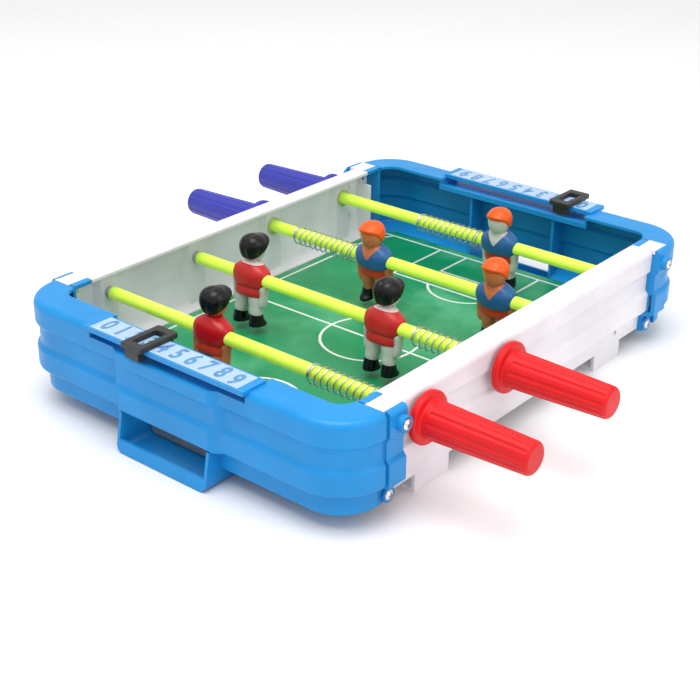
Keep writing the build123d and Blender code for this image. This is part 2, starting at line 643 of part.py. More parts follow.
for name, x in ROD_X.items():
    s = side(name)
    axis = Axis((x, 0, ROD_Z), (0, 1, 0))

    with BuildPart() as rod:
        with BuildSketch(along(name, -ROD_FREE_Y)):
            Circle(ROD_R)
            Circle(ROD_BORE_R, mode=Mode.SUBTRACT)
        extrude(amount=ROD_FREE_Y + HANDLE_Y[1] - 12)
    finish(rod, f"{name}_rod")

    with BuildPart() as guide_pin:
        with BuildSketch(Plane.XY.offset(ROD_Z)):
            with BuildLine():
                Polyline(
                    *turned_points(
                        [
                            (0, -113.1),
                            (ROD_BORE_R - RUNNING, -113.1),
                            (ROD_BORE_R - RUNNING, -BOSS_Y),
                            (3.6, -BOSS_Y),
                            (3.6, -ROD_FREE_Y - 0.3),
                            (ROD_BORE_R - RUNNING, -ROD_FREE_Y - 0.3),
                            (ROD_BORE_R - RUNNING, 19.0),
                            (ROD_BORE_R - 0.8, 20.0),
                            (0, 20.0),
                        ],
                        s,
                        x,
                    ),
                    close=True,
                )
            make_face()
        revolve(axis=axis)
    finish(guide_pin, f"{name}_guide_pin")

    with BuildPart() as bush:
        with BuildSketch(Plane.XY.offset(ROD_Z)):
            with BuildLine():
                Polyline(
                    *turned_points(
                        [
                            (ROD_R + RUNNING, BOSS_Y - 0.9),
                            (ROD_R + 1.8, BOSS_Y - 0.9),
                            (ROD_R + 1.8, BOSS_Y - 0.05),
                            (ROD_R + 1.0, BOSS_Y - 0.05),
                            (ROD_R + 1.0, PANEL_Y + 0.05),
                            (ROD_R + 1.5, PANEL_Y + 0.05),
                            (ROD_R + 1.5, PANEL_Y + 0.7),
                            (ROD_R + RUNNING, PANEL_Y + 0.7),
                        ],
                        s,
                        x,
                    ),
                    close=True,
                )
            make_face()
        revolve(axis=axis)
    finish(bush, f"{name}_bush")

    near_r, far_r = HANDLE_R
    start, end = HANDLE_Y
    with BuildPart() as handle:
        with BuildSketch(Plane.XY.offset(ROD_Z)):
            with BuildLine():
                FilletPolyline(
                    *turned_points(
                        [
                            (0, start),
                            (HANDLE_FLANGE_R, start),
                            (HANDLE_FLANGE_R, start + 4.0),
                            (near_r, start + 4.6),
                            (far_r, end),
                            (0, end),
                        ],
                        s,
                        x,
                    ),
                    radius=(1.4, 1.4, 1.2, 2.4),
                )
                Line((x, s * end), (x, s * start))
            make_face()
        revolve(axis=axis)
        # shallow flutes along the grip
        for i in range(12):
            angle = radians(30 * i + 15)
            flute_r = 2.2
            for_ends = []
            for distance, surface in ((start + 8, near_r - 0.12), (end - 6, far_r + 0.18)):
                reach = surface + flute_r - 0.5
                with BuildSketch(along(name, distance)) as flute:
                    with Locations((reach * cos(angle), reach * sin(angle))):
                        Circle(flute_r)
                for_ends.append(flute.sketch)
            loft(for_ends, mode=Mode.SUBTRACT)
        # socket for the rod
        with BuildSketch(along(name, start - 1)):
            Circle(ROD_R)
        extrude(amount=end - start - 11, mode=Mode.SUBTRACT)
    finish(handle, f"{name}_handle")

    # the loose return spring, hung on the rod between the handle-side wall and a figure
    nearest = min(FIGURES[name].values()) if s < 0 else max(FIGURES[name].values())
    shoulder = s * nearest + SHOULDER
    gap = BOSS_Y - 0.9 - shoulder
    wall_gap = {"red_keeper": 14.2, "red_striker": 0.3, "blue_striker": gap - SPRING_L - 1.3}
    spring_end = BOSS_Y - 0.9 - wall_gap.get(name, gap - SPRING_L - 1.3)
    wound = SPRING_L - 2 * WIRE_R
    first = spring_end - SPRING_L + WIRE_R
    with BuildLine() as coil:
        Helix(
            pitch=wound / SPRING_TURNS,
            height=wound,
            radius=SPRING_R,
            center=(x, s * first, ROD_Z - SPRING_SAG),
            direction=(0, s, 0),
        )
    wire_plane = Plane(origin=coil.line @ 0, z_dir=coil.line % 0)
    with BuildPart() as spring:
        with BuildSketch(wire_plane):
            Circle(WIRE_R)
        sweep(path=coil.line, is_frenet=True)
    finish(spring, f"{name}_spring")


# ---- figures ----
def figure_part(x, y, facing):
    """One player, bored for its rod. facing is the sign of X that it looks along."""
    head_z = ROD_Z + 17.6
    foot_z = PITCH_Z + 1.9
    with BuildPart() as player:
        # torso
        with BuildSketch(Plane(origin=(x, y, ROD_Z - 9), z_dir=(0, 0, 1))):
            RectangleRounded(14.0, 21.0, 5.5)
        with BuildSketch(Plane(origin=(x, y, ROD_Z + 1), z_dir=(0, 0, 1))):
            RectangleRounded(15.5, 2 * SHOULDER, 6.5)
        with BuildSketch(Plane(origin=(x, y, ROD_Z + 8.5), z_dir=(0, 0, 1))):
            RectangleRounded(10.5, 15.0, 5.0)
        loft()
        # legs
        with BuildSketch(Plane(origin=(x, y, foot_z + 3.0), z_dir=(0, 0, 1))):
            RectangleRounded(9.5, 13.0, 3.5)
        with BuildSketch(Plane(origin=(x, y, ROD_Z - 8.5), z_dir=(0, 0, 1))):
            RectangleRounded(12.5, 18.0, 5.0)
        loft()
        # boots
        with BuildSketch(Plane(origin=(x + facing * 1.5, y, foot_z), z_dir=(0, 0, 1))):
            RectangleRounded(14.0, 15.0, 4.0)
        extrude(amount=6.0)
        # head on a short neck
        with BuildSketch(Plane(origin=(x, y, 0), x_dir=(1, 0, 0), z_dir=(0, -1, 0))):
            with BuildLine():
                Polyline((0, ROD_Z + 5), (4.5, ROD_Z + 5), (4.5, head_z - 6.5))
                Spline((4.5, head_z - 6.5), (8.3, head_z + 0.6), (0, head_z + 9.1),
                       tangents=((0.6, 1), (-1, 0)))
                Line((0, head_z + 9.1), (0, ROD_Z + 5))
            make_face()
        revolve(axis=Axis((x, y, 0), (0, 0, 1)))
        with BuildSketch(Plane(origin=(x, y - 20, ROD_Z), x_dir=(1, 0, 0), z_dir=(0, 1, 0))):
            Circle(ROD_R)
        extrude(amount=40, mode=Mode.SUBTRACT)
    return player


for name, places in FIGURES.items():
    for suffix, y in places.items():
        figure = figure_part(ROD_X[name], y, 1 if name.startswith("red") else -1)
        finish(figure, f"{name}{suffix}_figure")


# ---- fasteners ----
def pan_screw(length):
    """A pan-head screw with a cross recess, its seat at zero and its shank going up."""
    with BuildPart() as screw:
        with BuildSketch(Plane.XZ):
            with BuildLine():
                Polyline(
                    (0, -2.0), (1.4, -2.0), (HEAD_R, -0.9), (HEAD_R, 0), (SHANK_R, 0),
                    (SHANK_R, length), (0, length),
                    close=True,
                )
            make_face()
        revolve(axis=Axis.Z)
        with BuildSketch(Plane.XY.offset(-2.1)):
            Rectangle(3.2, 0.75)
            Rectangle(0.75, 3.2)
        extrude(amount=1.2, mode=Mode.SUBTRACT)
    return screw.part


def screw_planes(seat, height):
    """The four places for a screw with that seat and height, each facing into the table."""
    return [
        Plane(origin=(x, s * seat, height), x_dir=(1, 0, 0), z_dir=(0, -s, 0))
        for s in (-1, 1)
        for x in (-SCREW_X, SCREW_X)
    ]


with BuildPart() as corner_screws:
    with Locations(*screw_planes(*SCREW_UP)):
        add(pan_screw(14.0))
    with Locations(*screw_planes(*SCREW_LOW)):
        add(pan_screw(7.0))
finish(corner_screws, "corner_screws")

with BuildPart() as pitch_screws:
    with BuildSketch(Plane.XY.offset(SKIRT_Z - 1.3)):
        with GridLocations(PITCH_SCREW_X[2], 2 * PITCH_SCREW_Y, 3, 2):
            Circle(1.9)
    extrude(amount=1.3)
    with BuildSketch(Plane.XY.offset(SKIRT_Z)):
        with GridLocations(PITCH_SCREW_X[2], 2 * PITCH_SCREW_Y, 3, 2):
            Circle(0.8)
    extrude(amount=BOARD_Z + BOARD[2] - 0.4 - SKIRT_Z)
finish(pitch_screws, "pitch_screws")
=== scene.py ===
"""Looks for the mini foosball table.

Materials, pitch markings, score digits, springs, players and the studio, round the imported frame.
"""

import math

import bpy
import numpy as np
from mathutils import Matrix, Vector


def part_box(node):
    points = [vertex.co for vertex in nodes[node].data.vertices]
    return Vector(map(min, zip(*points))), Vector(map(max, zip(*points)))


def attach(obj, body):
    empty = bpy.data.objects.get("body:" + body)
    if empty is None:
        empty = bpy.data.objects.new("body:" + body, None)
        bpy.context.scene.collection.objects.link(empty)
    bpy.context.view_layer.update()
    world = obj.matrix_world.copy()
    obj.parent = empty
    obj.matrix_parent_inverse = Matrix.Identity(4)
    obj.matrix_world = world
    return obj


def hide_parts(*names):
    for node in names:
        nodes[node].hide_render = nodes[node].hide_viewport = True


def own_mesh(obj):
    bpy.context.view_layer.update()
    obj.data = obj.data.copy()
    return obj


MM = 0.001

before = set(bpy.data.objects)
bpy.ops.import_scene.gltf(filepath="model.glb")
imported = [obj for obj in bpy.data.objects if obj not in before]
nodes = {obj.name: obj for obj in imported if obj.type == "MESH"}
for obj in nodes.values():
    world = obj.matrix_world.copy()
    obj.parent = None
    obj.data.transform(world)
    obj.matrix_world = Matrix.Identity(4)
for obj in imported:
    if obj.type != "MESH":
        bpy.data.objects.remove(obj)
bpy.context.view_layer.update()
scene = bpy.context.scene

# ---- where things are, in millimetres ----
ROD_X = {"red_keeper": -105.0, "red_striker": -35.0, "blue_striker": 35.0, "blue_keeper": 105.0}
ROD_Z = 48.0
PITCH_TOP = 13.7
FIGURE_Y = {
    "red_keeper": {"": 25.5},
    "red_striker": {"_left": 62.9, "_right": -38.2},
    "blue_striker": {"_left": 25.4, "_right": -65.0},
    "blue_keeper": {"": -20.3},
}
RED_HEAD_TOP = 74.4
BLUE_HEAD_TOP = 73.0
DIGIT_ZERO_Y = 46.35
DIGIT_PITCH = 10.3
DIGIT_X = 159.4
DIGIT_SIZE = 15.4
DIGIT_WEIGHT = 0.52  # how much each stroke is thickened
DIGIT_NARROWING = 0.74
LABEL_TOP = 65.25
INK_LIFT = 0.04  # printed things lie this far above their sheet


# ---- materials ----
def node(tree, kind, **inputs):
    """Add a shader node and set its unlinked inputs by name."""
    made = tree.nodes.new(kind)
    for key, value in inputs.items():
        made.inputs[key.replace("_", " ")].default_value = value
    return made


def noise(tree, coordinates, scale, detail=3.0, stretch=(1, 1, 1)):
    """A noise texture in metres, optionally stretched along an axis."""
    mapping = tree.nodes.new("ShaderNodeMapping")
    mapping.inputs["Scale"].default_value = stretch
    tree.links.new(coordinates, mapping.inputs["Vector"])
    texture = node(tree, "ShaderNodeTexNoise", Scale=scale, Detail=detail, Roughness=0.55)
    tree.links.new(mapping.outputs["Vector"], texture.inputs["Vector"])
    return texture.outputs["Fac"]


def remap(tree, value, low, high, to_low, to_high):
    """Map one range of values smoothly onto another."""
    made = node(tree, "ShaderNodeMapRange")
    made.interpolation_type = "SMOOTHSTEP"
    settings = (low, high, to_low, to_high)
    for key, setting in zip(("From Min", "From Max", "To Min", "To Max"), settings):
        made.inputs[key].default_value = setting
    tree.links.new(value, made.inputs["Value"])
    return made.outputs["Result"]


def blend_colors(tree, factor, first, second):
    """Mix two colours, each a socket or three numbers, by a factor socket."""
    mix = tree.nodes.new("ShaderNodeMix")
    mix.data_type = "RGBA"
    tree.links.new(factor, mix.inputs["Factor"])
    for socket, color in ((mix.inputs[6], first), (mix.inputs[7], second)):
        if isinstance(color, bpy.types.NodeSocket):
            tree.links.new(color, socket)
        else:
            socket.default_value = (*color, 1.0)
    return mix.outputs[2]


def start_material(name):
    """A new node material, and its tree, shader and object coordinates."""
    made = bpy.data.materials.new(name)
    made.use_nodes = True
    tree = made.node_tree
    shader = tree.nodes["Principled BSDF"]
    coordinates = tree.nodes.new("ShaderNodeTexCoord").outputs["Object"]
    return made, tree, shader, coordinates


def scaled(color, by):
    """A lighter or darker version of a colour."""
    return tuple(min(1.0, c * by) for c in color)


def moulded(name, color, rough=0.32, grain=0.25, round_mm=0.35, edge_highlight=0.25, coat=0.0, painted_glow=0.0,
            translucent=0.0, shine=0.5):
    """Moulded plastic: faint flow marks, fine grain, scuffs, slightly paler edges as a painted
    highlight, and an optional painted glow.
    """
    made, tree, shader, coordinates = start_material(name)
    cloud = noise(tree, coordinates, 28.0)
    base = blend_colors(
        tree, remap(tree, cloud, 0.3, 0.7, 0, 1), scaled(color, 0.93), scaled(color, 1.05)
    )
    if round_mm:
        rounded = node(tree, "ShaderNodeBevel", Radius=round_mm * MM)
        rounded.samples = 4
        geometry = tree.nodes.new("ShaderNodeNewGeometry")
        facing = tree.nodes.new("ShaderNodeVectorMath")
        facing.operation = "DOT_PRODUCT"
        tree.links.new(rounded.outputs["Normal"], facing.inputs[0])
        tree.links.new(geometry.outputs["Normal"], facing.inputs[1])
        # rounded edges are mixed towards a paler colour: a painted highlight along each edge
        edge_highlight_mask = remap(tree, facing.outputs["Value"], 0.99, 0.8, 0, edge_highlight)
        highlight_color = tuple(c + (1 - c) * 0.35 for c in color)
        base = blend_colors(tree, edge_highlight_mask, base, highlight_color)
    tree.links.new(base, shader.inputs["Base Color"])
    scuff = noise(tree, coordinates, 220.0, 5.0, (1.0, 0.25, 1.0))
    tree.links.new(remap(tree, scuff, 0.35, 0.75, rough, rough + 0.14), shader.inputs["Roughness"])
    fine = noise(tree, coordinates, 2600.0, 2.0)
    bump = node(tree, "ShaderNodeBump", Strength=grain, Distance=0.00006)
    tree.links.new(fine, bump.inputs["Height"])
    if round_mm:
        tree.links.new(rounded.outputs["Normal"], bump.inputs["Normal"])
    tree.links.new(bump.outputs["Normal"], shader.inputs["Normal"])
    shader.inputs["Specular IOR Level"].default_value = shine
    shader.inputs["Coat Weight"].default_value = coat
    shader.inputs["Coat Roughness"].default_value = 0.12
    # emission here is a painted glow that stands in for light; the part is no lamp
    if painted_glow:
        tree.links.new(base, shader.inputs["Emission Color"])
        shader.inputs["Emission Strength"].default_value = painted_glow
    if translucent:
        shader.inputs["Subsurface Weight"].default_value = translucent
        shader.inputs["Subsurface Radius"].default_value = (0.004, 0.004, 0.004)
        shader.inputs["Subsurface Scale"].default_value = 0.6
    return made


def metal(name, color, rough, brush):
    """Metal with fine brush marks and uneven shine."""
    made, tree, shader, coordinates = start_material(name)
    shader.inputs["Metallic"].default_value = 1.0
    cloud = noise(tree, coordinates, 400.0, 4.0)
    tree.links.new(
        blend_colors(tree, cloud, scaled(color, 0.85), scaled(color, 1.1)),
        shader.inputs["Base Color"],
    )
    marks = noise(tree, coordinates, 1500.0, 3.0, brush)
    tree.links.new(remap(tree, marks, 0.3, 0.7, rough, rough + 0.18), shader.inputs["Roughness"])
    bump = node(tree, "ShaderNodeBump", Strength=0.2, Distance=0.00003)
    tree.links.new(marks, bump.inputs["Height"])
    tree.links.new(bump.outputs["Normal"], shader.inputs["Normal"])
    return made


def printed(name, color, other, patch_scale, low, high, rough, coat):
    """A printed and varnished sheet with soft patches of a second ink and a halftone speckle.

    low and high are the noise values between which the second ink comes in.
    """
    made, tree, shader, coordinates = start_material(name)
    patches = noise(tree, coordinates, patch_scale, 4.0)
    base = blend_colors(tree, remap(tree, patches, low, high, 0, 1), color, other)
    speckle = noise(tree, coordinates, 1400.0, 2.0)
    darker = blend_colors(tree, remap(tree, speckle, 0.35, 0.7, 0, 0.3), base, scaled(color, 0.7))
    tree.links.new(darker, shader.inputs["Base Color"])
    smear = noise(tree, coordinates, 90.0, 4.0)
    tree.links.new(remap(tree, smear, 0.3, 0.7, rough, rough + 0.12), shader.inputs["Roughness"])
    bump = node(tree, "ShaderNodeBump", Strength=0.12, Distance=0.00006)
    tree.links.new(smear, bump.inputs["Height"])
    tree.links.new(bump.outputs["Normal"], shader.inputs["Normal"])
    shader.inputs["Coat Weight"].default_value = coat
    shader.inputs["Coat Roughness"].default_value = 0.08
    return made


# in the materials below, the edge setting paints paler edges as a painted highlight, and the glow
# setting is a painted glow
BLUE = moulded("shell_blue", (0.010, 0.252, 0.615), rough=0.30, edge_highlight=0.22, shine=0.30)
# the panel's glow is painted light, brightening the white plastic where it lies in shade
WHITE = moulded(
    "panel_white", (0.69, 0.665, 0.70), rough=0.34, edge_highlight=0.1, painted_glow=0.09, translucent=0.08
)
BLACK = moulded("slider_black", (0.022, 0.022, 0.021), rough=0.42, grain=0.5, edge_highlight=0.12)
GREY = moulded("pin_grey", (0.46, 0.48, 0.46), rough=0.4, round_mm=0.0)
BUSH = moulded("bush_yellow", (0.52, 0.60, 0.22), rough=0.35, round_mm=0.0)
# the rod's glow is painted light, making the neon plastic brighter than the lamps make it
NEON = moulded("rod_neon", (0.66, 0.98, 0.075), rough=0.22, round_mm=0.0, coat=0.3, painted_glow=0.16)
RED = moulded("handle_red", (0.66, 0.007, 0.010), rough=0.38, edge_highlight=0.12, shine=0.28)
DEEP_BLUE = moulded("handle_blue", (0.030, 0.035, 0.36), rough=0.36, edge_highlight=0.12)
STEEL = metal("screw_steel", (0.75, 0.75, 0.76), 0.18, (1.0, 1.0, 1.0))
WIRE = metal("spring_wire", (0.66, 0.65, 0.60), 0.22, (1.0, 0.2, 1.0))
BOARD = printed("board_green", (0.03, 0.12, 0.07), (0.06, 0.18, 0.11), 60.0, 0.4, 0.6, 0.6, 0.0)
GRASS = printed(
    "pitch_grass", (0.002, 0.270, 0.095), (0.09, 0.43, 0.21), 22.0, 0.46, 0.74, 0.36, 0.14
)
LINES = printed("pitch_lines", (0.84, 0.88, 0.84), (0.74, 0.80, 0.76), 80.0, 0.4, 0.6, 0.3, 0.5)
LABEL = printed("label_sheet", (0.41, 0.56, 0.74), (0.37, 0.52, 0.72), 50.0, 0.4, 0.6, 0.35, 0.2)
INK = printed("label_ink", (0.06, 0.22, 0.48), (0.08, 0.27, 0.54), 90.0, 0.4, 0.6, 0.35, 0.2)


def paint(name, color, rough=0.28, coat=0.15):
    """Glossy paint on a moulded figure."""
    return moulded(name, color, rough=rough, round_mm=0.0, grain=0.3, coat=coat, shine=0.35)


HAIR_BLACK = paint("paint_black", (0.0025, 0.003, 0.003), 0.24, 0.0)
HAIR_ORANGE = paint("paint_orange", (0.86, 0.10, 0.004), coat=0.0)
SKIN = paint("paint_skin", (0.58, 0.165, 0.055), 0.33)
PALE = paint("paint_pale", (0.56, 0.57, 0.52), 0.33)
SHIRT_RED = paint("paint_red", (0.52, 0.004, 0.006))
SHIRT_ROSE = paint("paint_rose", (0.55, 0.018, 0.016), 0.3)
SHIRT_BLUE = paint("paint_blue", (0.020, 0.115, 0.31))
SHORTS = paint("paint_shorts", (0.56, 0.040, 0.010))
COLLAR = paint("paint_collar", (0.78, 0.62, 0.60), 0.3)

for name, made in nodes.items():
    kind = BLUE
    if "panel" in name:
        kind = WHITE
    elif "slider" in name:
        kind = BLACK
    elif name == "pitch_board":
        kind = BOARD
    elif name == "pitch_sheet":
        kind = GRASS
    elif "label" in name:
        kind = LABEL
    elif "screws" in name:
        kind = STEEL
    elif name.endswith("_pin"):
        kind = GREY
    elif name.endswith("_bush"):
        kind = BUSH
    elif name.endswith("_rod"):
        kind = NEON
    elif name.endswith("_handle"):
        kind = RED if name.startswith("red") else DEEP_BLUE
    elif name.endswith("_spring"):
        kind = WIRE
    made.data.materials.clear()
    made.data.materials.append(kind)


# ---- mesh helpers ----
def new_object(name, points, faces, materials, indices=None, smooth=True):
    """Make a mesh object from points in millimetres."""
    mesh = bpy.data.meshes.new(name)
    mesh.from_pydata([tuple(MM * c for c in p) for p in points], [], faces)
    for material in materials:
        mesh.materials.append(material)
    if indices is not None:
        mesh.polygons.foreach_set("material_index", indices)
    mesh.polygons.foreach_set("use_smooth", [smooth] * len(mesh.polygons))
    mesh.validate()
    mesh.update()
    made = bpy.data.objects.new(name, mesh)
    scene.collection.objects.link(made)
    return made


def ribbon(points, width, closed=False):
    """A flat strip of the given width along points (x, y), as 2-D points and quads."""
    line = [np.array(p, float) for p in points]
    count = len(line)
    made, faces = [], []
    for i, p in enumerate(line):
        before = line[(i - 1) % count] if closed or i > 0 else p
        after = line[(i + 1) % count] if closed or i < count - 1 else p
        first = p - before
        second = after - p
        first = first / np.linalg.norm(first) if np.linalg.norm(first) > 0 else None
        second = second / np.linalg.norm(second) if np.linalg.norm(second) > 0 else None
        first = second if first is None else first
        second = first if second is None else second
        across = np.array([-(first + second)[1], (first + second)[0]])
        across = across / np.linalg.norm(across)
        reach = width / 2 / max(0.3, abs(across @ np.array([-first[1], first[0]])))
        made += [p + across * reach, p - across * reach]
    for i in range(count if closed else count - 1):
        j = (i + 1) % count
        faces.append((2 * i, 2 * i + 1, 2 * j + 1, 2 * j))
    return made, faces


def arc(cx, cy, radius, start, end, steps=48):
    """Points along an arc, angles in degrees."""
    angles = np.radians(np.linspace(start, end, steps + 1))
    return [(cx + radius * math.cos(a), cy + radius * math.sin(a)) for a in angles]


# ---- pitch markings ----
LINE_W = 1.7
GOAL_X = 141.0
TOUCH_Y = 100.8
CIRCLE_R = 30.0
strips = [
    ribbon(
        [(-GOAL_X, -TOUCH_Y), (GOAL_X, -TOUCH_Y), (GOAL_X, TOUCH_Y), (-GOAL_X, TOUCH_Y)],
        LINE_W,
        closed=True,
    ),
    ribbon([(0, -TOUCH_Y), (0, TOUCH_Y)], LINE_W),
    ribbon(arc(0, 0, CIRCLE_R, 0, 360)[:-1], LINE_W, closed=True),
    ribbon(arc(0, 0, 0.8, 0, 360, 16)[:-1], 1.6, closed=True),
]
for s in (-1, 1):
    for depth, half in ((30.0, 29.0), (52.5, 51.0)):
        strips.append(
            ribbon(
                [
                    (s * GOAL_X, -half),
                    (s * (GOAL_X - depth), -half),
                    (s * (GOAL_X - depth), half),
                    (s * GOAL_X, half),
                ],
                LINE_W,
            )
        )
    middle = 0 if s < 0 else 180
    strips.append(ribbon(arc(s * 101.0, 0, 26.0, middle - 61, middle + 61), LINE_W))
    for corner in (-1, 1):
        start = {(-1, -1): 0, (1, -1): 90, (1, 1): 180, (-1, 1): 270}[(s, corner)]
        strips.append(
            ribbon(arc(s * GOAL_X, corner * TOUCH_Y, 8.0, start, start + 90, 12), LINE_W)
        )
points, faces = [], []
for level, (flat, quads) in enumerate(strips):
    base = len(points)
    points += [(p[0], p[1], PITCH_TOP + 0.03 + 0.002 * level) for p in flat]
    faces += [tuple(base + i for i in quad) for quad in quads]
markings = new_object("pitch_markings", points, faces, [LINES], smooth=False)
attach(markings, "table")

# ---- digits on the score labels ----
def digit(value, x, y, turn, name):
    """One bold digit lying on a label, as a mesh."""
    curve = bpy.data.curves.new(name, "FONT")
    curve.body = "6" if value == 9 else str(value)
    curve.size = DIGIT_SIZE * MM
    curve.align_x = "CENTER"
    curve.align_y = "CENTER"
    curve.bevel_depth = DIGIT_WEIGHT * MM
    curve.bevel_resolution = 1
    curve.resolution_u = 6
    made = bpy.data.objects.new(name, curve)
    scene.collection.objects.link(made)
    bpy.context.view_layer.update()
    mesh = bpy.data.meshes.new_from_object(made)
    bpy.data.objects.remove(made)
    placed = Matrix.Translation((x * MM, y * MM, (LABEL_TOP + INK_LIFT) * MM))
    condensed = Matrix.Diagonal((DIGIT_NARROWING, 1.0, 0.1, 1.0))
    turn += 180 if value == 9 else 0  # a nine is a six turned round
    mesh.transform(placed @ Matrix.Rotation(math.radians(turn), 4, "Z") @ condensed)
    mesh.materials.clear()
    mesh.materials.append(INK)
    made = bpy.data.objects.new(name, mesh)
    scene.collection.objects.link(made)
    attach(made, "table")


for value in range(10):
    along = DIGIT_ZERO_Y - DIGIT_PITCH * value
    digit(value, -DIGIT_X, along, -90, f"near_digit_{value}")
    digit(value, DIGIT_X, -along, 90, f"far_digit_{value}")


# ---- return springs ----
SPRING_R = 5.5
WIRE_R = 0.42
SAG = 0.95  # a loose coil hangs this far below its rod's axis


def spring(name, body):
    """A loose coil with closed end turns."""
    low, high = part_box(f"{name}_spring")
    start, end = low.y / MM + WIRE_R, high.y / MM - WIRE_R
    x = ROD_X[name]
    turns, sides, per_turn = 12.5, 8, 26
    steps = int(turns * per_turn)
    path = []
    for i in range(steps + 1):
        t = i / steps * turns
        # the first and last turn lie flat, and the rest are evenly wound
        closed = 1.05 * 2 * WIRE_R
        if t < 1:
            along = closed * t
        elif t > turns - 1:
            along = (end - start) - closed * (turns - t)
        else:
            along = closed + (end - start - 2 * closed) * (t - 1) / (turns - 2)
        a = 2 * math.pi * t
        path.append(
            (x + SPRING_R * math.cos(a), start + along, ROD_Z - SAG + SPRING_R * math.sin(a))
        )
    line = np.array(path)
    tangent = np.gradient(line, axis=0)
    tangent /= np.linalg.norm(tangent, axis=1)[:, None]
    radial = line - np.column_stack(
        [np.full(len(line), x), line[:, 1], np.full(len(line), ROD_Z - SAG)]
    )
    radial /= np.linalg.norm(radial, axis=1)[:, None]
    other = np.cross(tangent, radial)
    points, faces = [], []
    for p, u, v in zip(line, radial, other):
        for k in range(sides):
            a = 2 * math.pi * k / sides
            points.append(p + WIRE_R * (math.cos(a) * u + math.sin(a) * v))
    for i in range(steps):
        for k in range(sides):
            a, b = i * sides + k, i * sides + (k + 1) % sides
            faces.append((a, b, b + sides, a + sides))
    faces.append(tuple(range(sides))[::-1])
    faces.append(tuple(steps * sides + k for k in range(sides)))
    made = new_object(f"{name}_coil", points, faces, [WIRE])
    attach(made, body)
    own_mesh(made)
    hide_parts(f"{name}_spring")


spring("red_keeper", "table")
spring("red_striker", "table")
spring("blue_striker", "blue_striker_rod")
spring("blue_keeper", "blue_keeper_rod")


# ---- players ----
def smooth_rows(rows, steps):
    """Interpolate section rows smoothly (Catmull-Rom), so a few of them make a soft shape."""
    keys = np.array(rows, float)
    padded = np.vstack([2 * keys[0] - keys[1], keys, 2 * keys[-1] - keys[-2]])
    made = []
    for i in range(len(keys) - 1):
        a, b, c, d = padded[i : i + 4]
        for t in np.linspace(0, 1, steps, endpoint=False):
            made.append(
                0.5 * (2 * b + (c - a) * t + (2 * a - 5 * b + 4 * c - d) * t**2
                       + (3 * b - a - 3 * c + d) * t**3)
            )
    made.append(keys[-1])
    return np.array(made)


def loft(rows, segments=44, steps=6, power=2.2):
    """Stack of rounded sections. Each row is (height, centre x, centre y, half x, half y)."""
    table = smooth_rows(rows, steps)
    angles = np.linspace(0, 2 * math.pi, segments, endpoint=False)
    c, s = np.cos(angles), np.sin(angles)
    ux = np.sign(c) * np.abs(c) ** (2 / power)
    uy = np.sign(s) * np.abs(s) ** (2 / power)
    points, faces = [], []
    for z, cx, cy, rx, ry in table:
        rx, ry = max(rx, 0.05), max(ry, 0.05)
        points += list(zip(cx + rx * ux, cy + ry * uy, np.full(segments, z)))
    for i in range(len(table) - 1):
        for k in range(segments):
            a, b = i * segments + k, i * segments + (k + 1) % segments
            faces.append((a, b, b + segments, a + segments))
    faces.append(tuple(range(segments))[::-1])
    last = (len(table) - 1) * segments
    faces.append(tuple(last + k for k in range(segments)))
    return np.array(points, float), faces


def step(value, low, high):
    """A smooth rise from 0 to 1 between two values."""
    t = np.clip((value - low) / (high - low), 0, 1)
    return t * t * (3 - 2 * t)


HEAD_ROWS = [
    (7.6, 0.9, 0, 1.6, 1.6),
    (8.8, 0.9, 0, 3.9, 3.8),
    (10.8, 0.7, 0, 5.7, 5.6),
    (13.6, 0.4, 0, 6.8, 6.6),
    (16.6, 0.1, 0, 7.2, 7.1),
    (19.4, -0.1, 0, 6.8, 6.7),
    (21.6, -0.2, 0, 5.3, 5.3),
    (22.9, -0.2, 0, 2.7, 2.7),
    (23.3, -0.2, 0, 0.1, 0.1),
]
HEAD_MIDDLE = 15.8
HEAD_ROOM = 24.5  # height of the hair's top above the rod, before the head is moved
LEAN = math.radians(8.0)  # how far each player leans forward on its rod


def head_shapes(hair_kind, lift):
    """Head and hair, facing +X. The hair is the head's own skin pushed out above the hairline."""
    skull, faces = loft([(z + lift, *rest) for z, *rest in HEAD_ROWS], 72, 9, 2.05)
    hair = skull.copy()
    out = hair - np.array([0.0, 0.0, HEAD_MIDDLE + lift])
    out /= np.linalg.norm(out, axis=1)[:, None]
    ahead = out[:, 0]
    z = hair[:, 2] - lift
    if hair_kind == "quiff":
        line = 8.6 + 10.6 * np.clip((ahead + 0.75) / 1.65, 0, 1)
        push = 1.3 * step(z - line, -0.3, 1.6)
        push += 1.9 * np.exp(-((ahead - 0.72) ** 2) / 0.06 - (z - 20.9) ** 2 / 7.0)
        push += 0.5 * step(-ahead, 0.2, 0.9) * step(z - line, 0, 2.5)
        parting = np.exp(-hair[:, 1] ** 2 / 2.2) * step(-ahead, -0.1, 0.6)
        push -= 0.7 * parting * step(z - line, 0, 2.5)
    else:
        line = 11.8 + 7.2 * step(ahead, -0.3, 0.8)
        push = 1.0 * step(z - line, -0.2, 1.3)
        push += 1.1 * np.exp(-((ahead - 0.72) ** 2) / 0.05 - (z - 19.9) ** 2 / 3.0)
    push = np.where(z < line - 0.25, -0.6, push - 0.05)
    hair += out * push[:, None]
    return (skull, faces), (hair, faces)


